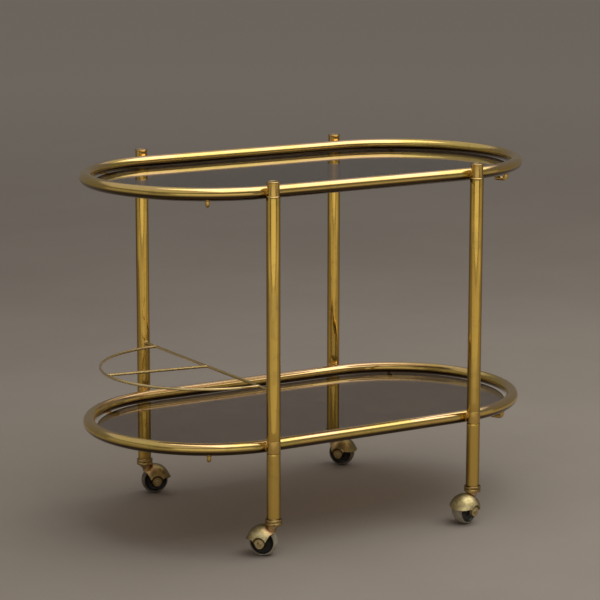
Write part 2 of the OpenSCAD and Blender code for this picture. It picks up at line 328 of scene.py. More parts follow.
def brass(name, bright, dull, stain, rough, mottled=0.25, specks=0.3, dull_where=None, grain=(1, 1, 1),
          underside_shade=0.0, top_highlight=0.0, slant_shade=0.0):
    """Aged polished brass: broad warm and dull patches, brown stains, dark specks and
    fine scratches. dull_where(look) adds a share of dullness by place. The last three
    arguments paint light: painted shade darkens what faces the floor, a painted highlight
    makes what faces up paler and creamier, and painted shade browns what is seen at a slant."""
    look = Look(name)
    patches = look.span(look.noise(9, 4, 0.55, distortion=0.5), 0.44, 0.70)
    mottling = look.span(look.noise(70, 4, 0.6), 0.50, 0.74)
    specks_here = look.span(look.noise(620, 2, 0.5), 0.68, 0.76)
    worn = look.math("ADD", patches, dull_where(look)) if dull_where else patches
    worn = look.math("MINIMUM", worn, 1.0)
    colour = look.mix(worn, bright, dull)
    colour = look.mix(look.math("MULTIPLY", mottling, mottled), colour, stain)
    speck = tuple(c * 0.35 for c in stain)
    colour = look.mix(look.math("MULTIPLY", specks_here, specks), colour, speck)
    facing = look.node("ShaderNodeSeparateXYZ")
    look.feed(facing.inputs[0], look.node("ShaderNodeNewGeometry").outputs["Normal"])
    # painted shade: faces turned towards the floor are darkened
    below = look.span(look.math("MULTIPLY", facing.outputs["Z"], -1.0), 0.0, 0.36)
    # painted highlight: faces turned up are made paler and creamier, less so on worn patches
    unworn = look.span(worn, 0.0, 1.0, 1.0, 0.2)
    above = look.math("MULTIPLY", look.span(facing.outputs["Z"], 0.20, 0.85), unworn)
    colour = look.mix(look.math("MULTIPLY", above, top_highlight), colour, TOP_HIGHLIGHT_COLOUR)
    colour = look.mix(look.math("MULTIPLY", below, underside_shade), colour, UNDERSIDE_SHADE_COLOUR)
    # painted shade: browner where the surface is seen at a slant
    at_edge = look.span(slant(look), 0.14, 0.62)
    brown = tuple(c * 0.5 for c in stain)
    colour = look.mix(look.math("MULTIPLY", at_edge, slant_shade), colour, brown)
    smudge = look.noise(150, 3, 0.6, stretch=grain)
    uneven = look.math("ADD", look.math("MULTIPLY", worn, 0.65), look.math("MULTIPLY", smudge, 0.35))
    roughness = look.span(uneven, 0.10, 0.90, *rough)
    waves = look.bump(look.noise(30, 1, 0.3), 0.00004)
    scratches = look.bump(look.noise(900, 2, 0.7, stretch=grain), 0.000004, waves)
    pits = look.bump(look.math("SUBTRACT", 1.0, specks_here), 0.00001, scratches)
    return look.finish(look.surface(Base_Color=colour, Metallic=1.0, Roughness=roughness, Normal=pits,
                                    Coat_Weight=0.3, Coat_Roughness=0.12))


def towards_ends(look):
    """Rails are duller on their bends."""
    return look.span(look.math("ABSOLUTE", look.axis("X")), 0.22, 0.35, 0.0, 0.6)


def towards_floor(look):
    """Posts and legs are duller low down, where shoes and mops reach them."""
    return look.span(look.axis("Z"), 0.10, 0.30, 0.55, 0.0)


# each with its name, its bright and dull colours and that of its stains
rail_brass = brass("rail_brass", (0.88, 0.60, 0.17), (0.80, 0.60, 0.16), (0.44, 0.27, 0.07),
                   rough=(0.09, 0.22), dull_where=towards_ends, underside_shade=0.95, top_highlight=0.75)
post_brass = brass("post_brass", (0.95, 0.64, 0.13), (0.84, 0.58, 0.135), (0.46, 0.28, 0.06),
                   rough=(0.06, 0.20), dull_where=towards_floor, grain=(1, 1, 0.15), slant_shade=0.8)
turned_brass = brass("turned_brass", (0.92, 0.62, 0.16), (0.72, 0.48, 0.13), (0.38, 0.22, 0.08),
                     rough=(0.14, 0.30), grain=(1, 1, 4), top_highlight=0.5, slant_shade=0.6)
rod_brass = brass("rod_brass", (0.95, 0.76, 0.33), (0.80, 0.62, 0.24), (0.46, 0.28, 0.09),
                  rough=(0.14, 0.30), underside_shade=0.3, top_highlight=0.5)
braze_brass = brass("braze_brass", (0.80, 0.52, 0.15), (0.50, 0.30, 0.09), (0.24, 0.13, 0.04),
                    rough=(0.24, 0.45), mottled=0.5, specks=0.6)


def cast_brass(name, bright, dull, rough=(0.40, 0.58)):
    """Satin antique brass of the caster hoods and collars. The mesh says, in its "warm"
    attribute, where it is redder, and in another where shade is painted on the sloping
    step round the boss. Painted shade also darkens it where it is seen at a slant."""
    look = Look(name)
    patches = look.span(look.noise(60, 5, 0.62, distortion=0.8), 0.38, 0.64)
    stains = look.span(look.noise(190, 4, 0.6), 0.54, 0.70)
    specks = look.span(look.noise(900, 2, 0.5), 0.62, 0.72)
    near_neck = look.node("ShaderNodeAttribute", attribute_name="warm")
    warm = look.math("MULTIPLY", near_neck.outputs["Fac"], look.span(look.noise(45, 3), 0.30, 0.55))
    colour = look.mix(patches, bright, dull)
    colour = look.mix(look.math("MULTIPLY", warm, 0.75), colour, CASTING_WARM)
    colour = look.mix(look.math("MULTIPLY", stains, 0.4), colour, CASTING_STAIN)
    colour = look.mix(look.math("MULTIPLY", specks, 0.4), colour, CASTING_SPECK)
    # painted shade on the sloping step round the boss
    step_shaded = look.node("ShaderNodeAttribute", attribute_name="step_shade")
    colour = look.mix(look.math("MULTIPLY", step_shaded.outputs["Fac"], 0.88), colour, CASTING_STEP_SHADE)
    # painted shade: darker where the surface is seen at a slant
    colour = look.mix(look.span(slant(look), 0.25, 0.85, 0.0, 0.85), colour, CASTING_SLANT_SHADE)
    roughness = look.span(look.noise(230, 4, 0.65), 0.30, 0.70, *rough)
    grain = look.bump(look.noise(1500, 2, 0.6), 0.00002)
    dents = look.bump(look.noise(160, 2, 0.5), 0.00008, grain)
    return look.finish(look.surface(Base_Color=colour, Metallic=1.0, Roughness=roughness, Normal=dents))


def steel():
    """Plated steel of stems and axles, yellowed by age."""
    look = Look("steel")
    yellowed = look.span(look.noise(300, 4, 0.6), 0.4, 0.7)
    colour = look.mix(yellowed, (0.62, 0.50, 0.26), (0.30, 0.22, 0.11))
    roughness = look.span(look.noise(500, 3), 0.3, 0.7, 0.28, 0.46)
    turned = look.bump(look.noise(1400, 2), 0.00001)
    return look.finish(look.surface(Base_Color=colour, Metallic=1.0, Roughness=roughness, Normal=turned))


def rubber(name, base, dusty, dark, rough):
    """Grey-beige moulded rubber or plastic with dust and scuffs."""
    look = Look(name)
    dust = look.span(look.noise(120, 5, 0.65), 0.42, 0.66)
    scuffs = look.span(look.noise(260, 4, 0.6, stretch=(1, 1, 3)), 0.56, 0.70)
    colour = look.mix(dust, base, dusty)
    colour = look.mix(look.math("MULTIPLY", scuffs, 0.6), colour, dark)
    roughness = look.span(look.noise(420, 3, 0.6), 0.3, 0.7, *rough)
    grain = look.bump(look.noise(1800, 3, 0.6), 0.00003)
    return look.finish(look.surface(Base_Color=colour, Roughness=roughness, Normal=grain))


def core_plastic():
    """Black hard plastic of the wheel's core, with some dust."""
    look = Look("wheel_core")
    dust = look.span(look.noise(240, 5, 0.65), 0.50, 0.74)
    colour = look.mix(look.math("MULTIPLY", dust, 0.5), (0.012, 0.011, 0.010), (0.06, 0.052, 0.042))
    roughness = look.span(look.noise(380, 3), 0.3, 0.7, 0.20, 0.38)
    grain = look.bump(look.noise(1200, 2), 0.00001)
    return look.finish(look.surface(Base_Color=colour, Roughness=roughness, Normal=grain))


def see_through(look, shader, tint):
    """Lets light through to what is behind, so the shadow of glass isn't black."""
    path = look.node("ShaderNodeLightPath")
    clear = look.node("ShaderNodeBsdfTransparent")
    clear.inputs["Color"].default_value = (*tint, 1)
    both = look.node("ShaderNodeMixShader")
    look.feed(both.inputs[0], path.outputs["Is Shadow Ray"])
    look.feed(both.inputs[1], shader)
    look.feed(both.inputs[2], clear.outputs[0])
    return look.finish(both.outputs[0])


def smoked_glass():
    """Brown float glass with wipe marks."""
    look = Look("smoked_glass")
    cloud = look.span(look.noise(14, 3), 0.35, 0.65)
    colour = look.mix(cloud, (0.36, 0.30, 0.248), (0.32, 0.265, 0.216))
    wiped = look.span(look.noise(26, 5, 0.7, stretch=(1, 3, 1)), 0.45, 0.75, 0.012, 0.05)
    float_wave = look.bump(look.noise(7, 1, 0.3), 0.00002)
    glass = look.surface(Base_Color=colour, Roughness=wiped, IOR=1.47, Transmission_Weight=1.0,
                         Normal=float_wave)
    return see_through(look, glass, (0.52, 0.46, 0.40))


def clear_vinyl():
    """Slightly yellowed clear vinyl of the bumpers."""
    look = Look("clear_vinyl")
    aged = look.span(look.noise(400, 3), 0.4, 0.7)
    colour = look.mix(aged, (0.86, 0.86, 0.80), (0.74, 0.72, 0.62))
    cloudy = look.span(look.noise(700, 3), 0.3, 0.7, 0.12, 0.3)
    dimples = look.bump(look.noise(900, 2), 0.00003)
    vinyl = look.surface(Base_Color=colour, Roughness=cloudy, IOR=1.46, Transmission_Weight=0.85,
                         Normal=dimples)
    return see_through(look, vinyl, (0.85, 0.84, 0.78))


front_hood_brass = cast_brass("front_hood_brass", (0.84, 0.73, 0.40), (0.62, 0.51, 0.25))
# the back hoods get a darker copy of the hood brass: painted shade for the shadow under the shelves
shaded_back_hood_brass = cast_brass("shaded_back_hood_brass", (0.54, 0.41, 0.17), (0.34, 0.24, 0.09), rough=(0.30, 0.48))
collar_brass = cast_brass("collar_brass", (0.66, 0.48, 0.19), (0.42, 0.28, 0.10), rough=(0.22, 0.40))
caster_steel = steel()
front_tyre_rubber = rubber("front_tyre_rubber", (0.42, 0.38, 0.28), (0.58, 0.54, 0.42),
                           (0.20, 0.17, 0.12), (0.36, 0.56))
# the back treads get a darker copy of the tread rubber: painted shade for the shadow under the shelves
shaded_back_tyre_rubber = rubber("shaded_back_tyre_rubber", (0.17, 0.14, 0.10), (0.27, 0.235, 0.175),
                          (0.08, 0.065, 0.045), (0.42, 0.62))
cover_plastic = rubber("wheel_cover", (0.42, 0.37, 0.27), (0.56, 0.51, 0.39),
                       (0.22, 0.18, 0.13), (0.34, 0.52))
wheel_core = core_plastic()
glass_look = smoked_glass()
vinyl_look = clear_vinyl()


# ---------------------------------------------------------------- rails and shelves

for node, z in (("top_rail", TOP_Z), ("bottom_rail", BOTTOM_Z)):
    rail = sweep(oval(STRAIGHT, BEND_R, z), RAIL_R, sides=56, loop=True)
    fit(build("tube_" + node, [rail]), rail_brass, "frame", "rail_brass", node)


def shelf(node):
    """A flat plate with polished, rounded edges."""
    low, high = box_mm(node)
    radius = high.y
    edge = 1.4
    margin = 9
    profile = [(-margin, high.z), (-edge - 0.5, high.z), (-edge, high.z)]
    for k in range(1, 9):
        turn = math.pi / 2 * k / 8
        profile.append((edge * (math.sin(turn) - 1), high.z - edge * (1 - math.cos(turn))))
    profile += [(x, low.z + high.z - z) for x, z in reversed(profile)]
    vertices, rings = [], []
    for inset, z in profile:
        path = oval(STRAIGHT, radius + inset, z)
        rings.append(list(range(len(vertices), len(vertices) + len(path))))
        vertices += path
    faces = bands(rings, loop=False) + [tuple(rings[0]), tuple(reversed(rings[-1]))]
    return build("plate_" + node, [(vertices, faces)])


for node in ("top_glass", "bottom_glass"):
    fit(shelf(node), glass_look, "frame", "smoked_glass", node)


# a pin's radius, how far under the rail's centre it runs, its place on the rail's bend,
# where it ends, its own bend, and the radius of the bumper that it carries
PEG_R = 3.5
PEG_DROP = 18
PEG_TURN = math.radians(60)
PEG_TIP = BEND_R - 20.5
PEG_BEND = 4.5
PAD_R = 4.0


def peg_frames():
    """Where the pegs are: +X outwards from each bend's centre."""
    for end in (0, math.pi):
        centre = Matrix.Rotation(end, 4, "Z") @ Matrix.Translation((STRAIGHT, 0, 0))
        for turn in (PEG_TURN, -PEG_TURN):
            yield centre @ Matrix.Rotation(turn, 4, "Z")


def peg(rail_z):
    """A bent pin: up into the rail at one end, under the glass at the other."""
    z = rail_z - PEG_DROP
    path = [Vector((PEG_TIP + PEG_R + 2.0 * k, 0, z)) for k in range(5)]
    for k in range(9):
        turn = math.pi / 2 * k / 8
        x = BEND_R - PEG_BEND + PEG_BEND * math.sin(turn)
        path.append(Vector((x, 0, z + PEG_BEND * (1 - math.cos(turn)))))
    path.append(Vector((BEND_R, 0, rail_z - RAIL_R + 1)))
    return sweep(path, PEG_R, sides=28)


def peg_foot(rail_z):
    """The ring of braze where the pin goes into the rail."""
    z = rail_z - RAIL_R
    inner = PEG_R - 0.4
    outer = PEG_R + 1.6
    outline = [(inner, z - 1.5), (PEG_R + 0.1, z - 1.5), (PEG_R + 0.5, z - 0.3), (outer, z + 0.5),
               (outer, z + 1.4), (inner, z + 1.4)]
    ring = lathe(rounded(outline, 0.4, loop=True), 28, loop=True)
    return moved(ring, Matrix.Translation((BEND_R, 0, 0)))


def pad(node):
    """A clear stick-on bumper between the pin and the glass."""
    top = box_mm(node)[1].z
    bottom = top - 2.6
    outline = [(0, top), (PAD_R - 0.8, top), (PAD_R, top - 0.7), (PAD_R, top - 2.2), (PAD_R - 0.6, bottom),
               (0, bottom)]
    return moved(lathe(rounded(outline, 0.5), 32), Matrix.Translation((PEG_TIP + PAD_R, 0, 0)))


for level, rail_z in (("top", TOP_Z), ("bottom", BOTTOM_Z)):
    pins, pads = [], []
    for place in peg_frames():
        pins += [moved(peg(rail_z), place), moved(peg_foot(rail_z), place)]
        pads.append(moved(pad(level + "_pads"), place))
    fit(build("pins_" + level, pins), turned_brass, "frame", "turned_brass", level + "_pegs")
    fit(build("bumpers_" + level, pads), vinyl_look, "frame", "clear_pad", level + "_pads")


# ---------------------------------------------------------------- posts

def post_axis(corner):
    """Where an upright stands, in mm."""
    low, high = box_mm("leg_" + corner)
    return (low.x + high.x) / 2, (low.y + high.y) / 2


# how much slimmer a cap's body is than the post, and how far braze runs out
BODY_STEP = 1.1
BRAZE_REACH = 3.0


def tube(node):
    """A plain tube with slightly rounded mouths."""
    low, high = box_mm(node)
    inner = POST_R - POST_WALL
    steps = 24
    outside = [(POST_R, low.z + (high.z - low.z) * k / steps) for k in range(steps + 1)]
    outline = [(inner, low.z)] + outside + [(inner, high.z)]
    soft = rounded(outline, 0.25, loop=True, steps=2)
    return lathe(soft, 64, loop=True)


def cap(corner):
    """Turned cap: seam ring, slimmer body, flared rim and a shallow dished top."""
    low, high = box_mm("cap_" + corner)
    seam = low.z + SPIGOT
    top = high.z
    ring = POST_R - 0.1
    body = POST_R - BODY_STEP
    plug = [(0, seam - 6), (POST_R - 2, seam - 6), (POST_R - 1.6, seam - 0.1), (POST_R - 0.6, seam)]
    side = [(ring, seam + 0.25), (ring, seam + 0.9), (body + 0.3, seam + 1.5), (body, seam + 2.4),
            (body - 0.1, (seam + top) / 2), (body, top - 2.6)]
    rim = [(body + 0.5, top - 1.6), (body + 0.5, top - 0.7), (body - 0.1, top), (body - 1.5, top)]
    dished = [(body - 2.3, top - 0.6), (body - 5, top - 0.8), (0, top - 0.75)]
    outline = plug + side + rim + dished
    return lathe(rounded(outline, 0.35, steps=3), 64)


def knuckle(corner):
    """Turned coupling: its two seams show as fine grooves."""
    low, high = box_mm("knuckle_" + corner)
    bottom = low.z + SPIGOT
    top = high.z - SPIGOT
    plug = POST_R - 1.3
    shoulder = POST_R - 0.5
    below = [(0, bottom - 6), (plug, bottom - 6), (plug, bottom + 0.05), (shoulder, bottom + 0.05)]
    above = [(shoulder, top - 0.05), (plug, top - 0.05), (plug, top + 6), (0, top + 6)]
    outline = below + [(POST_R, bottom + 0.6), (POST_R, top - 0.6)] + above
    return lathe(rounded(outline, 0.3, steps=3), 64)


def braze(radius, rail_z, towards, reach, seed):
    """Concave fillet of braze round the place where an upright meets a rail. The
    upright stands at the origin and the rail's centre line is towards it along Y."""
    rings, vertices = [], []
    gap = abs(towards)
    nearest = gap - RAIL_R
    half_width = math.sqrt(radius ** 2 - nearest ** 2)
    count = 72

    def crease(turn):
        """A point of the line where the two round surfaces meet."""
        x = half_width * math.cos(turn)
        u = math.sqrt(radius ** 2 - x * x)
        z = math.copysign(math.sqrt(max(RAIL_R ** 2 - (gap - u) ** 2, 0)), math.sin(turn))
        return Vector((x, u, z))

    for k in range(count):
        turn = 2 * math.pi * (k + 0.5) / count
        here = crease(turn)
        along = (crease(turn + 0.02) - crease(turn - 0.02)).normalized()
        out_post = Vector((here.x, here.y, 0)).normalized()
        out_rail = Vector((0, here.y - gap, here.z)).normalized()
        on_post, on_rail = out_post.cross(along), out_rail.cross(along)
        on_post *= math.copysign(1, on_post.dot(out_rail))
        on_rail *= math.copysign(1, on_rail.dot(out_post))
        wobble = noise.noise(Vector((math.cos(turn) * 1.3, math.sin(turn) * 1.3, seed)))
        size = reach * (0.8 + 0.5 * abs(math.cos(turn))) * (1 + 0.45 * wobble)
        start = here + on_post * size
        flat = Vector((start.x, start.y, 0)).normalized() * (radius + 0.02)
        start = Vector((flat.x, flat.y, start.z))
        end = here + on_rail * size
        round_rail = Vector((0, end.y - gap, end.z)).normalized() * (RAIL_R + 0.02)
        end = Vector((end.x, gap + round_rail.y, round_rail.z))
        crest = here + (out_post + out_rail) * 0.25 * size
        # both ends of the section sink into the tubes
        section = [start - out_post * 0.5, start]
        for step in range(1, 6):
            t = step / 6
            section.append(start * (1 - t) ** 2 + crest * (2 * t * (1 - t)) + end * t * t)
        section += [end, end - out_rail * 0.5, here - (out_post + out_rail) * 0.6]
        start_at = len(vertices)
        vertices += section
        rings.append(list(range(start_at, len(vertices))))
    side = math.copysign(1, towards)
    vertices = [Vector((v.x, v.y * side, v.z + rail_z)) for v in vertices]
    return vertices, bands(rings, loop=True)


for index, corner in enumerate(CORNERS):
    x, y = post_axis(corner)
    upright = Matrix.Translation((x, y, 0))
    inward = math.copysign(BEND_R, y) - y
    for part in ("post", "leg"):
        piece = build(f"tube_{part}_{corner}", [moved(tube(f"{part}_{corner}"), upright)])
        fit(piece, post_brass, "frame", "post_brass", f"{part}_{corner}")
    for part, shape in (("cap", cap(corner)), ("knuckle", knuckle(corner))):
        piece = build(f"turned_{part}_{corner}", [moved(shape, upright)])
        fit(piece, turned_brass, "frame", "turned_brass", f"{part}_{corner}")
    fillets = [moved(braze(POST_R - BODY_STEP, TOP_Z, inward, BRAZE_REACH, index), upright),
               moved(braze(POST_R, BOTTOM_Z, inward, BRAZE_REACH, index + 7), upright)]
    fit(build("braze_" + corner, fillets), braze_brass, "frame", "turned_brass")


# ---------------------------------------------------------------- bottle holder

# the holder hangs between the left posts, and its divider isn't quite in line with X
ROD_X = post_axis("fl")[0]
POST_Y = abs(post_axis("fl")[1])
DIVIDER_TURN = math.radians(8.5)
DIVIDER_Y = -6
BEAD_R = ROD_R + 0.45


def bead(place, size, seed):
    """A lump of braze."""
    profile = []
    for k in range(13):
        turn = math.pi * (k / 12 - 0.5)
        profile.append((size * max(math.cos(turn), 0) if 0 < k < 12 else 0, size * math.sin(turn)))
    vertices, faces = lathe(profile, 20)
    bumpy = [v * (1 + 0.22 * noise.noise(v / size * 1.1 + Vector((seed, 0, 0)))) + place for v in vertices]
    return bumpy, faces


straight = [Vector((ROD_X, (POST_Y - POST_R + 1) * (k / 20 - 1), HOLDER_Z)) for k in range(41)]
rod = sweep(straight, ROD_R, sides=24, tip=0.5)
rosettes = []
rosette = lathe(rounded([(0, -1.5), (4.2, -1.5), (4.2, 0.1), (3.4, 0.8), (2.6, 2.0), (0, 2.2)], 0.5), 28)
for side in ENDS:
    at_post = Matrix.Translation((ROD_X, side * (POST_Y - POST_R), HOLDER_Z))
    rosettes.append(moved(rosette, at_post @ Matrix.Rotation(side * math.pi / 2, 4, "X")))
fit(build("rod_straight", [rod] + rosettes), rod_brass, "frame", "rod_brass", "holder_rod")

hoop_path = []
for k in range(73):
    turn = math.pi / 2 + math.pi * k / 72
    hoop_path.append(Vector((ROD_X + HOOP_R * math.cos(turn), HOOP_R * math.sin(turn), HOLDER_Z)))
hoop = sweep(hoop_path, ROD_R, sides=24, tip=1.0)
joints = [bead(Vector((ROD_X, side * HOOP_R, HOLDER_Z)), BEAD_R, side) for side in ENDS]
fit(build("rod_hoop", [hoop] + joints), rod_brass, "frame", "rod_brass", "holder_hoop")

start = Vector((ROD_X, DIVIDER_Y, HOLDER_Z))
along = Vector((-math.cos(DIVIDER_TURN), math.sin(DIVIDER_TURN), 0))
reach = HOOP_R * math.cos(DIVIDER_TURN)
divider_path = [start + along * reach * k / 12 for k in range(13)]
divider = sweep(divider_path, ROD_R, sides=24, tip=0.8)
joints = [bead(start, BEAD_R, 4), bead(start + along * reach, BEAD_R, 5)]
fit(build("rod_divider", [divider] + joints), rod_brass, "frame", "rod_brass", "holder_divider")


# ---------------------------------------------------------------- casters

# the ball wheel, and where its centre is from the swivel axis
BALL_R = 22.5
WHEEL_Z = BALL_R
TRAIL = 17
SIDE_STEP = 1
AXLE_R = 3

# the dome, whose centre is above the wheel's
HOOD_R = 25.8
HOOD_LIFT = 1.7
HOOD_WALL = 1.8
DOME = Vector((0, 0, HOOD_LIFT))

# the rim's plane, and the lip that flares from LIP_FROM of the way down to it: it is
# widest LIP_TURN round from the trailing end, and LIP_LEAST of it goes all round
RIM_RISE = 9.8
RIM_TILT = Matrix.Rotation(math.radians(15), 3, "Y") @ Matrix.Rotation(math.radians(-5), 3, "X")
RIM_NORMAL = RIM_TILT @ Vector((0, 0, 1))
LIP = 2.0
LIP_FROM = 0.78
LIP_TURN = 0.26
LIP_LEAST = 0.15

# the lobe over the axle's end: a round boss with a flat face, and a web that widens
# from it up to the dome
LOBE_SIDE = 6
BOSS_R = 8
BOSS_FACE = 21.3
BOSS_STEP = 4.2
HOLLOW_END = BOSS_FACE - 1.6
WEB_LOW = -2.4
WEB_TALL = 17.4
WEB_HALF = 7.4
WEB_FLARE = 8.6

# the neck that leans from the dome to the stem, the ball that cuts it off inside the
# dome's wall, and the place round which the casting is warmest
NECK_TOP = 49.6
NECK_LEAN = (-0.42, -0.16)
NECK_BALL_R = 24
NECK_FOOT = Vector((4, 6, 42))


def above_rim(point):
    """How far a point round the wheel's centre is above the rim's plane."""
    return (point - DOME).dot(RIM_NORMAL) - RIM_RISE


def inside_hood(point):
    """Whether a point round the wheel's centre is above the rim or on the lobe."""
    if above_rim(point) > 0:
        return True
    if point.y < LOBE_SIDE:
        return False
    if point.x ** 2 + point.z ** 2 < BOSS_R ** 2:
        return True
    rise = point.z - WEB_LOW
    return 0 < rise < WEB_TALL and abs(point.x) < WEB_HALF + rise * WEB_FLARE / WEB_TALL


def on_dome(turn, climb, radius):
    """A point of a ball round the dome's centre."""
    return Vector((radius * math.cos(climb) * math.cos(turn), radius * math.cos(climb) * math.sin(turn),
                   radius * math.sin(climb) + HOOD_LIFT))


def hood_edges(count):
    """For each direction round the dome, how far down the hood reaches, and how much
    of that is plain rim and not lobe. Both are smoothed."""
    highest = math.radians(60)
    lowest = math.radians(-40)
    step = math.radians(0.2)
    edges, plain = [], []
    for k in range(count):
        turn = 2 * math.pi * k / count
        climb = highest
        while inside_hood(on_dome(turn, climb, HOOD_R)) and climb > lowest:
            climb -= step
        edges.append(climb)
        plain.append(1.0 if above_rim(on_dome(turn, climb, HOOD_R)) > -1.0 else 0.0)
    for _ in range(3):
        edges = [(edges[i - 1] + 2 * edges[i] + edges[(i + 1) % count]) / 4 for i in range(count)]
    for _ in range(30):
        plain = [(plain[i - 1] + 2 * plain[i] + plain[(i + 1) % count]) / 4 for i in range(count)]
    return edges, plain


def hood_shell():
    """Dome with a tilted rim, a lip that flares most at the trailing end, and a lobe
    that hangs over the axle's end. Round the wheel's centre, +X trailing, +Y lobe."""
    around = 240
    down = 30
    edges, plain = hood_edges(around)
    vertices = [Vector((0, 0, HOOD_R + HOOD_LIFT))]
    rings = [[0]]

    def ring(share, wall, extra=0.0):
        """One ring of vertices, share of the way from the top to the rim and wall deep."""
        start = len(vertices)
        for k in range(around):
            turn = 2 * math.pi * k / around
            climb = math.pi / 2 + (edges[k] - math.pi / 2) * share
            trailing = LIP_LEAST + max(math.cos(turn - LIP_TURN), 0) ** 2
            lift = max((share - LIP_FROM) / (1 - LIP_FROM), 0) ** 2 * LIP * trailing * plain[k]
            point = on_dome(turn, climb - extra, HOOD_R - wall + lift * (1 if wall < 1 else 0.75))
            if wall > 1:
                point.y = min(point.y, HOLLOW_END)
            vertices.append(point)
        rings.append(list(range(start, start + around)))

    for k in range(1, down + 1):
        ring(k / down, 0)
    ring(1.0, HOOD_WALL * 0.5, 0.016)
    for k in range(down, 0, -1):
        ring(k / down, HOOD_WALL)
    vertices.append(Vector((0, 0, HOOD_R - HOOD_WALL + HOOD_LIFT)))
    rings.append([len(vertices) - 1])
    return vertices, bands(rings, loop=False)


def zone(radius, start, end, steps):
    """Profile points on a ball between two heights."""
    heights = [start + (end - start) * k / steps for k in range(steps + 1)]
    return [((radius ** 2 - z * z) ** 0.5, z) for z in heights]


def along_y(x, y, z):
    """Turns a lathe's +Z to +Y, with its zero at (x, y, z)."""
    return Matrix.Translation((x, y, z)) @ Matrix.Rotation(-math.pi / 2, 4, "X")


def modify(piece, kind, **settings):
    """Applies one modifier to the mesh."""
    made = piece.modifiers.new(kind.lower(), kind)
    for key, value in settings.items():
        setattr(made, key, value)
    bpy.context.view_layer.update()
    result = bpy.data.meshes.new_from_object(piece.evaluated_get(bpy.context.evaluated_depsgraph_get()))
    piece.modifiers.clear()
    piece.data = result


def combine(piece, operation, tool):
    """Cuts the tool from the piece or adds it, and removes the tool."""
    modify(piece, "BOOLEAN", operation=operation, solver="EXACT", object=tool)
    bpy.data.objects.remove(tool)


def hood_neck(centre):
    """The leaning neck, cut off below by a ball inside the dome's wall."""
    lean = Matrix.Identity(4)
    for row, slope in enumerate(NECK_LEAN):
        lean[row][2] = slope
        lean[row][3] = -slope * NECK_TOP
    outline = [(0, 39.5), (5.2, 39.5), (5.8, 41), (6.6, 44), (8.8, 48.6), (9.2, NECK_TOP), (0, NECK_TOP)]
    neck = build("neck", [moved(lathe(rounded(outline, 0.6), 56), lean)])
    reach = NECK_BALL_R - 0.5
    profile = [(0, -NECK_BALL_R)] + zone(NECK_BALL_R, -reach, reach, 40) + [(0, NECK_BALL_R)]
    combine(neck, "DIFFERENCE", build("ball", [moved(lathe(profile, 72), centre)]))
    return neck


def hood_mesh():
    """The whole casting in the caster's own frame, as one closed and even mesh."""
    centre = Matrix.Translation((TRAIL, -SIDE_STEP, WHEEL_Z))
    sideways = along_y(TRAIL, -SIDE_STEP, WHEEL_Z)
    shell = build("hood_master", [moved(hood_shell(), centre)])
    face = [(0, BOSS_FACE), (BOSS_R + 0.2, BOSS_FACE), (BOSS_R + 5.9, BOSS_FACE + BOSS_STEP),
            (0, BOSS_FACE + BOSS_STEP)]
    combine(shell, "DIFFERENCE", build("cutter", [moved(lathe(face, 64), sideways)]))
    combine(shell, "UNION", hood_neck(centre))
    bearing_ring = [(AXLE_R, 14.4), (6.4, 14.4), (7.0, 15.2), (7.0, 20.8), (AXLE_R, 20.8)]
    combine(shell, "UNION", build("boss", [moved(lathe(bearing_ring, 48, loop=True), sideways)]))
    modify(shell, "REMESH", mode="VOXEL", voxel_size=0.42 * MM)
    return shell


def smooth(work, vertices):
    """Moves each vertex halfway to the middle of its neighbours."""
    bmesh.ops.smooth_vert(work, verts=vertices, factor=0.5,
                          use_axis_x=True, use_axis_y=True, use_axis_z=True)


def soften(piece):
    """Rounds the remeshed casting: a little everywhere, more where the neck grows
    out of the dome."""
    work = bmesh.new()
    work.from_mesh(piece.data)
    for _ in range(3):
        smooth(work, work.verts[:])
    neck = []
    for vertex in work.verts:
        away = (vertex.co.x ** 2 + vertex.co.y ** 2) ** 0.5
        if away < 13 * MM and 30 * MM < vertex.co.z < 47 * MM:
            neck.append(vertex)
    for _ in range(14):
        smooth(work, neck)
    work.to_mesh(piece.data)
    work.free()


def mark(piece, name, amount):
    """Stores amount(vertex), a share from 0 to 1, as a named attribute of the mesh."""
    layer = piece.data.attributes.new(name, "FLOAT", "POINT")
    for vertex in piece.data.vertices:
        layer.data[vertex.index].value = amount(vertex)


def across_axle(vertex):
    """How far a vertex of the casting is from the axle's line, in mm, along X and Z."""
    return vertex.co.x / MM - TRAIL, vertex.co.z / MM - WHEEL_Z


def step_shade(vertex):
    """Painted shade on the sloping step round the flat boss, on faces turned in towards its axis."""
    x, z = across_axle(vertex)
    out = math.hypot(x, z)
    if not BOSS_R - 0.6 < out < BOSS_R + 6 or vertex.co.y / MM <= BOSS_FACE - 2.5:
        return 0
    inwards = -(vertex.normal.x * x + vertex.normal.z * z) / out
    return min(max((inwards - 0.12) / 0.3, 0), 1)


def warmth(vertex):
    """The casting is redder where the neck leaves the dome, and a little on the boss."""
    away = (vertex.co / MM - NECK_FOOT).length
    face = BOSS_FACE - SIDE_STEP - 0.5
    on_boss = math.hypot(*across_axle(vertex)) < BOSS_R + 0.3 and vertex.co.y / MM > face
    return max(min(1.5 - away / 12, 1), 0.3 if on_boss else 0)


master = hood_mesh()
soften(master)
mark(master, "step_shade", step_shade)
mark(master, "warm", warmth)


def caster_frame(corner):
    """The caster's own axes: origin on the floor under the swivel axis, +X trailing,
    +Y towards the lobe, +Z up."""
    joints = {j["name"]: j for j in frame["joints"]}
    foot = Vector(joints["swivel_" + corner]["pos_m"]) / MM
    wheel = Vector(joints["roll_" + corner]["pos_m"]) / MM
    lobe = Vector(joints["roll_" + corner]["axis"]).normalized()
    offset = wheel - foot
    offset.z = 0
    trailing = (offset - lobe * offset.dot(lobe)).normalized()
    matrix = Matrix.Identity(4)
    matrix.col[0].xyz = trailing
    matrix.col[1].xyz = lobe
    matrix.col[3].xyz = (foot.x, foot.y, 0)
    return matrix


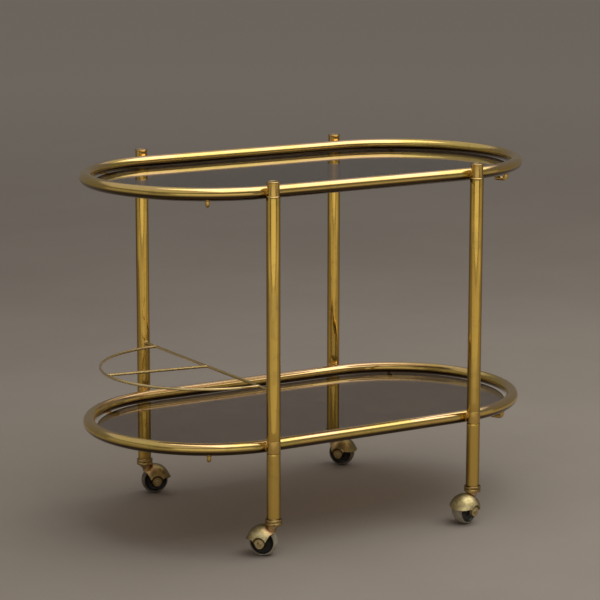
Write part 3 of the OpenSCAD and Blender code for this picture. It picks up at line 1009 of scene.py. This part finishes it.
def copy_of(name, source, matrix):
    """The source mesh placed by a matrix in mm, with its faces kept outwards."""
    mesh = source.data.copy()
    mesh.name = name
    scaled = matrix.copy()
    scaled.translation = scaled.translation * MM
    mesh.transform(scaled)
    if scaled.determinant() < 0:
        mesh.flip_normals()
    mesh.polygons.foreach_set("use_smooth", [True] * len(mesh.polygons))
    made = bpy.data.objects.new(name, mesh)
    bpy.context.scene.collection.objects.link(made)
    return made


def collar():
    """Two turned rings with a groove between them, and a ferrule up into the leg."""
    lower_ring = [(11.6, 50), (13.0, 50.9), (13.6, 52.2), (13.6, 54.2), (13.1, 55.2)]
    groove = [(12.2, 55.8)]
    upper_ring = [(13.1, 56.4), (13.6, 57.4), (13.6, 59.2), (13.0, 60.4), (12.3, 60.7), (11.6, 60.3)]
    ferrule = [(11.2, 59.3), (9.6, 59.3), (9.6, 68), (7.5, 68)]
    outline = [(7.5, 50)] + lower_ring + groove + upper_ring + ferrule
    return lathe(rounded(outline, 0.5, loop=True, steps=3), 64, loop=True)


def stem():
    """The swivel pin, with its head inside the leg."""
    return lathe(rounded([(0, 42), (4, 42), (4, 93.6), (6, 93.6), (6, 95.2), (0, 95.2)], 0.3), 32)


def axle():
    """Riveted over at the lobe, with a head inside the cover."""
    head = [(0, -13.2), (3.6, -13.2), (4.6, -12.6), (4.6, -11.2)]
    shank = [(AXLE_R, -11.2), (AXLE_R, 21.2)]
    rivet = [(4, 21.2), (4, 21.7), (3.4, 22.3), (2.2, 22.6), (1.2, 22.2), (0, 22.1)]
    return lathe(rounded(head + shank + rivet, 0.3), 36)


def tyre():
    """Moulded tread: a zone of the ball, with its rims rounded over."""
    outline = [(19.05, -6), (21.2, -6)] + zone(BALL_R, -5.6, 8.4, 22) + [(20.2, 9), (19.05, 9)]
    return lathe(rounded(outline, 0.5, loop=True, steps=2), 96, loop=True)


def dish():
    """Domed cover on the open side, with a fine step where it meets the tread."""
    outer = BALL_R - 0.6
    shell = zone(outer, -6.4, -20.5, 16) + [(outer - 14.6, -21.2), (3, -21.8), (0, -outer)]
    inner = zone(outer - 1.6, -20.2, -6.0, 10)
    outline = [(21.0, -6.0)] + shell + [(0, -20.3)] + inner
    return lathe(outline, 96, loop=True)


def hub():
    """Black core: bearing sleeve, web, drum and a recessed face towards the lobe."""
    web = [(3.1, -11), (6, -11), (6, -8), (18.4, -8), (18.4, -6)]
    drum = [(19, -6), (19, 8.2), (18.4, 8.6), (17.4, 8.4)]
    recess = [(16.4, 7.2), (15.6, 6.6), (9.6, 6.4), (8.4, 7.0), (6.6, 9.6)]
    sleeve = [(6, 10.4), (6, 13.9), (3.1, 13.9)]
    outline = web + drum + recess + sleeve
    return lathe(rounded(outline, 0.5, loop=True, steps=3), 96, loop=True)


for corner in CORNERS:
    own = caster_frame(corner)
    wheel = own @ along_y(TRAIL, -SIDE_STEP, WHEEL_Z)
    swivel = "swivel_" + corner
    roll = "roll_" + corner
    in_front = corner[0] == "f"
    # the back casters get darker copies of the hood brass and the tread rubber: painted shade
    hood_brass = front_hood_brass if in_front else shaded_back_hood_brass
    tyre_look = front_tyre_rubber if in_front else shaded_back_tyre_rubber
    upright = Matrix.Translation((*post_axis(corner), 0))
    collar_rings = build("collar_rings_" + corner, [moved(collar(), upright)])
    fit(collar_rings, collar_brass, "frame", "caster_brass", "collar_" + corner)
    casting = copy_of("hood_casting_" + corner, master, own)
    fit(casting, hood_brass, swivel, "caster_brass", "hood_" + corner)
    for name, shape, place, look, body, slot, node in (
            ("stem_pin_", stem(), upright, caster_steel, swivel, "caster_steel", "stem_"),
            ("axle_rivet_", axle(), wheel, caster_steel, swivel, "caster_steel", "axle_"),
            ("wheel_core_", hub(), wheel, wheel_core, roll, "wheel_core", "hub_"),
            ("wheel_cover_", dish(), wheel, cover_plastic, roll, "wheel_cover", "dish_"),
            ("wheel_tread_", tyre(), wheel, tyre_look, roll, "tyre_rubber", "tyre_")):
        fit(build(name + corner, [moved(shape, place)]), look, body, slot, node + corner)
bpy.data.objects.remove(master)


# ---------------------------------------------------------------- floor, light and camera

FLOOR_HALF = 40


def floor():
    """Matt floor that grows paler with distance, and so makes the backdrop too: the paler colour far off
    is painted light for a lit backdrop.
    """
    look = Look("floor")
    cloud = look.span(look.noise(1.7, 4, 0.6), 0.3, 0.7)
    colour = look.mix(cloud, (0.395, 0.350, 0.310), (0.425, 0.380, 0.338))
    away = look.node("ShaderNodeVectorMath", operation="LENGTH")
    look.feed(away.inputs[0], look.node("ShaderNodeNewGeometry").outputs["Position"])
    # painted light: paler from 2 to 7 m out
    colour = look.mix(look.span(away.outputs["Value"], 2.0, 7.0), colour, (0.64, 0.59, 0.54))
    texture = look.bump(look.noise(40, 3, 0.6), 0.0005)
    paint = look.finish(look.surface(Base_Color=colour, Roughness=0.85, Normal=texture))
    mesh = bpy.data.meshes.new("floor")
    corners = [(x * FLOOR_HALF, y * FLOOR_HALF, 0) for x, y in ((-1, -1), (1, -1), (1, 1), (-1, 1))]
    mesh.from_pydata(corners, [], [(0, 1, 2, 3)])
    made = bpy.data.objects.new("floor", mesh)
    mesh.materials.append(paint)
    bpy.context.scene.collection.objects.link(made)


WARM = (1.0, 0.96, 0.90)


def bearing(azimuth, distance, height):
    """A point round the trolley, by azimuth from +X."""
    turn = math.radians(azimuth)
    return Vector((distance * math.cos(turn), distance * math.sin(turn), height))


def softbox(name, place, target, width, height, radiance, up=(0, 0, 1), mirrored_only=False):
    """A warm rectangular light. Its brightness is given as what a mirror would show. One
    that is mirrored_only reaches glossy reflections and no diffuse or refracted ones."""
    lamp = bpy.data.lights.new(name, "AREA")
    lamp.shape = "RECTANGLE"
    lamp.size, lamp.size_y = width, height
    lamp.energy = radiance * math.pi * width * height
    lamp.color = WARM
    made = bpy.data.objects.new(name, lamp)
    facing = (Vector(target) - Vector(place)).normalized()
    across = facing.cross(Vector(up)).normalized()
    turned = Matrix((across, across.cross(facing), -facing)).transposed().to_4x4()
    made.matrix_world = Matrix.Translation(place) @ turned
    made.visible_camera = False
    if mirrored_only:
        made.visible_diffuse = False
        made.visible_transmission = False
    bpy.context.scene.collection.objects.link(made)


def room():
    """Even light from all round, a little darker where glossy surfaces mirror it."""
    world = bpy.data.worlds.new("studio")
    world.use_nodes = True
    tree = world.node_tree
    background = tree.nodes["Background"]
    background.inputs["Color"].default_value = (0.200, 0.186, 0.170, 1)
    share = tree.nodes.new("ShaderNodeMapRange")
    share.inputs["To Min"].default_value = 1.15
    share.inputs["To Max"].default_value = 0.75
    tree.links.new(tree.nodes.new("ShaderNodeLightPath").outputs["Is Glossy Ray"], share.inputs["Value"])
    tree.links.new(share.outputs["Result"], background.inputs["Strength"])
    bpy.context.scene.world = world


floor()
room()
bpy.context.scene.view_settings.view_transform = "Standard"

softbox("overhead", (0.75, -0.95, 2.6), (0.75, -0.95, 0), 3.4, 3.0, 1.33, up=(0, 1, 0))
softbox("ceiling", (-1.0, 0, 3.2), (-1.0, 0, 0), 9.0, 8.0, 0.30, up=(0, 1, 0), mirrored_only=True)

# what polished brass shows of the room: lit floor in front, a dark gap, and pale walls
FRONT = 241
WALL_AWAY = 2.45
WALL_HEIGHT = 0.9
FLOOR_WIDTH = 5.0
TO_CAMERA = bearing(FRONT, 1, 0)
for name, near, far, radiance in (("front_floor", 0.95, 2.12, 0.17), ("front_gap", 2.12, WALL_AWAY, 0.01)):
    place = TO_CAMERA * (near + far) / 2 + Vector((0, 0, 0.004))
    above = place + Vector((0, 0, 1))
    softbox(name, place, above, FLOOR_WIDTH, far - near, radiance, up=TO_CAMERA, mirrored_only=True)
for name, azimuth, width, radiance in (("front_wall", FRONT, 3.2, 0.46), ("left_wall", 166, 2.0, 0.13),
                                       ("right_wall", 316, 2.0, 0.13)):
    place = bearing(azimuth, WALL_AWAY, WALL_HEIGHT / 2)
    softbox(name, place, (0, 0, WALL_HEIGHT / 2), width, WALL_HEIGHT, radiance, mirrored_only=True)

CAMERA_PLACE = Vector((-2.0938, -3.4169, 1.1403))
CAMERA_YAW = math.radians(31.369)
CAMERA_PITCH = math.radians(-11.116)
CAMERA_ROLL = math.radians(0.064)
lens = bpy.data.cameras.new("camera")
lens.lens = 148.51
lens.sensor_width = 36
lens.clip_end = 200
camera = bpy.data.objects.new("camera", lens)
heading = Vector((math.sin(CAMERA_YAW), math.cos(CAMERA_YAW), 0))
level = Vector((math.cos(CAMERA_YAW), -math.sin(CAMERA_YAW), 0))
forward = heading * math.cos(CAMERA_PITCH) + Vector((0, 0, math.sin(CAMERA_PITCH)))
right = level * math.cos(CAMERA_ROLL) + level.cross(forward) * math.sin(CAMERA_ROLL)
turned = Matrix((right, right.cross(forward), -forward)).transposed().to_4x4()
camera.matrix_world = Matrix.Translation(CAMERA_PLACE) @ turned
bpy.context.scene.collection.objects.link(camera)
bpy.context.scene.camera = camera
